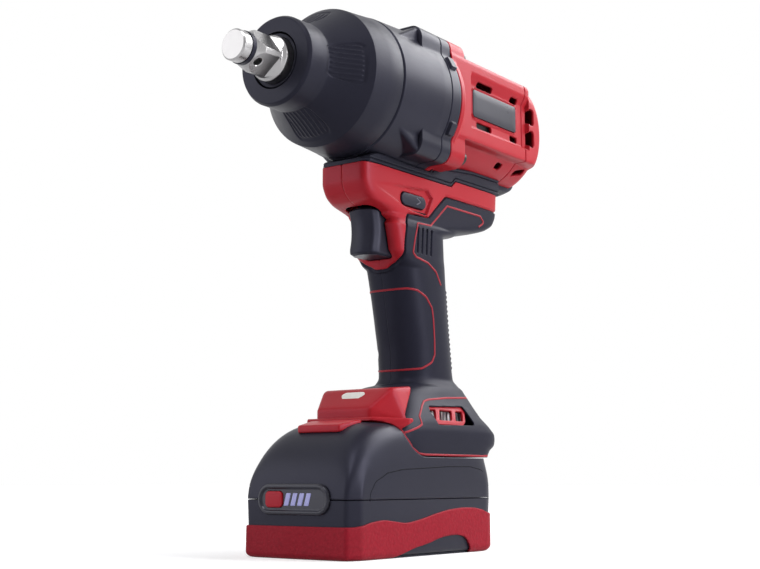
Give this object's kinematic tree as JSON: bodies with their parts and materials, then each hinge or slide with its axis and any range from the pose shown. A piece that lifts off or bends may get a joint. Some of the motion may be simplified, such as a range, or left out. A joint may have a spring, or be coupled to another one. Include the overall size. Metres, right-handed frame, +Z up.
{
  "type": "cordless impact wrench",
  "caption": "Cordless impact wrench with a square drive anvil, hammer head, pistol grip with trigger and direction button, foot lamp and slide-on battery with latch and gauge.",
  "frame": {"origin": "on the floor under the drive axis, in the middle of the battery's width", "axes": "+Z up, -Y along the drive towards the socket, +X the side shown in the picture"},
  "size_m": [0.092, 0.2732, 0.326],
  "materials": {
    "shell_red": "satin",
    "case_black": "powder coated",
    "soft_black": "matt",
    "black_plastic": "matt",
    "steel": "ground",
    "dark_steel": "oiled",
    "bronze": "plain",
    "copper": "enamelled",
    "board": "lacquered",
    "pale_metal": "plain",
    "lens": "clear",
    "cell_wrap": "shrink wrap",
    "light_bar": "translucent",
    "lead": "soft"
  },
  "bodies": {
    "tool_body": {"hammer_case": "case_black", "nose_boot": "soft_black", "nose_seal": "soft_black", "nose_bush": "bronze", "gear_case": "case_black", "case_screws": "dark_steel", "ring_gear": "dark_steel", "spindle_bearing": "steel", "front_bearing": "steel", "rear_bearing": "steel", "stator_core": "dark_steel", "stator_coils": "copper", "motor_board": "board", "motor_housing": "shell_red", "rear_cover": "shell_red", "rear_bumper": "soft_black", "side_badges": "black_plastic", "head_saddle": "black_plastic", "right_handle": "shell_red", "left_handle": "shell_red", "right_grip": "soft_black", "left_grip": "soft_black", "handle_screws": "dark_steel", "trigger_switch": "black_plastic", "trigger_spring": "steel", "lamp_lens": "lens", "lamp_board": "board", "vent_grilles": "shell_red", "heat_sink": "pale_metal", "control_board": "board", "terminal_block": "black_plastic", "power_leads": "lead"},
    "anvil": {"anvil": "steel", "socket_ring": "dark_steel"},
    "spindle": {"spindle": "steel", "planet_pins": "dark_steel", "cam_balls": "steel", "hammer_spring": "steel"},
    "hammer": {"hammer": "dark_steel"},
    "planet_1": {"planet_gear_1": "steel"},
    "planet_2": {"planet_gear_2": "steel"},
    "planet_3": {"planet_gear_3": "steel"},
    "rotor": {"rotor_shaft": "steel", "rotor_core": "dark_steel", "rotor_magnets": "pale_metal", "cooling_fan": "black_plastic"},
    "trigger": {"trigger": "black_plastic"},
    "direction_button": {"direction_button": "black_plastic"},
    "battery": {"battery_bottom_case": "black_plastic", "battery_top_case": "black_plastic", "battery_bumper": "shell_red", "gauge_panel": "black_plastic", "gauge_lights": "light_bar", "battery_cells": "cell_wrap", "cell_holders": "black_plastic", "battery_board": "board", "battery_screws": "dark_steel", "latch_spring": "steel"},
    "latch": {"battery_latch": "shell_red"},
    "gauge_button": {"gauge_button": "shell_red"}
  },
  "joints": [
    {"name": "spindle_spin", "type": "hinge", "parent": "tool_body", "child": "spindle", "pos_m": [0, 0, 0.28], "axis": [0, -1, 0], "continuous": true},
    {"name": "anvil_spin", "type": "hinge", "parent": "tool_body", "child": "anvil", "pos_m": [0, 0, 0.28], "axis": [0, -1, 0], "continuous": true},
    {"name": "rotor_spin", "type": "hinge", "parent": "tool_body", "child": "rotor", "pos_m": [0, 0, 0.28], "axis": [0, -1, 0], "continuous": true},
    {"name": "planet_1_spin", "type": "hinge", "parent": "spindle", "child": "planet_1", "pos_m": [0, 0, 0.298], "axis": [0, -1, 0], "continuous": true},
    {"name": "planet_2_spin", "type": "hinge", "parent": "spindle", "child": "planet_2", "pos_m": [-0.01559, 0, 0.271], "axis": [0, -1, 0], "continuous": true},
    {"name": "planet_3_spin", "type": "hinge", "parent": "spindle", "child": "planet_3", "pos_m": [0.01559, 0, 0.271], "axis": [0, -1, 0], "continuous": true},
    {"name": "hammer_retreat", "type": "slide", "parent": "spindle", "child": "hammer", "axis": [0, 1, 0], "range_m": [0, 0.0096], "stiffness_N_per_m": 12000, "springref_m": -0.003, "deforming": ["hammer_spring"]},
    {"name": "trigger_pull", "type": "slide", "parent": "tool_body", "child": "trigger", "axis": [0, 1, 0], "range_m": [0, 0.008], "stiffness_N_per_m": 1200, "springref_m": -0.003, "deforming": ["trigger_spring"]},
    {"name": "direction_slide", "type": "slide", "parent": "tool_body", "child": "direction_button", "axis": [1, 0, 0], "range_m": [-0.0035, 0.0035]},
    {"name": "battery_slide", "type": "slide", "parent": "tool_body", "child": "battery", "axis": [0, -1, 0], "range_m": [0, 0.12]},
    {"name": "latch_press", "type": "slide", "parent": "battery", "child": "latch", "axis": [0, 0, -1], "range_m": [0, 0.0026], "stiffness_N_per_m": 2000, "springref_m": -0.002, "deforming": ["latch_spring"]},
    {"name": "gauge_press", "type": "slide", "parent": "battery", "child": "gauge_button", "axis": [0, 1, 0], "range_m": [0, 0.0008], "stiffness_N_per_m": 1500, "springref_m": -0.0008}
  ],
  "couplings": [
    {"joint": "anvil_spin", "follows": "spindle_spin", "ratio": 1},
    {"joint": "rotor_spin", "follows": "spindle_spin", "ratio": 6},
    {"joint": "planet_1_spin", "follows": "spindle_spin", "ratio": -2.5},
    {"joint": "planet_2_spin", "follows": "spindle_spin", "ratio": -2.5},
    {"joint": "planet_3_spin", "follows": "spindle_spin", "ratio": -2.5}
  ]
}
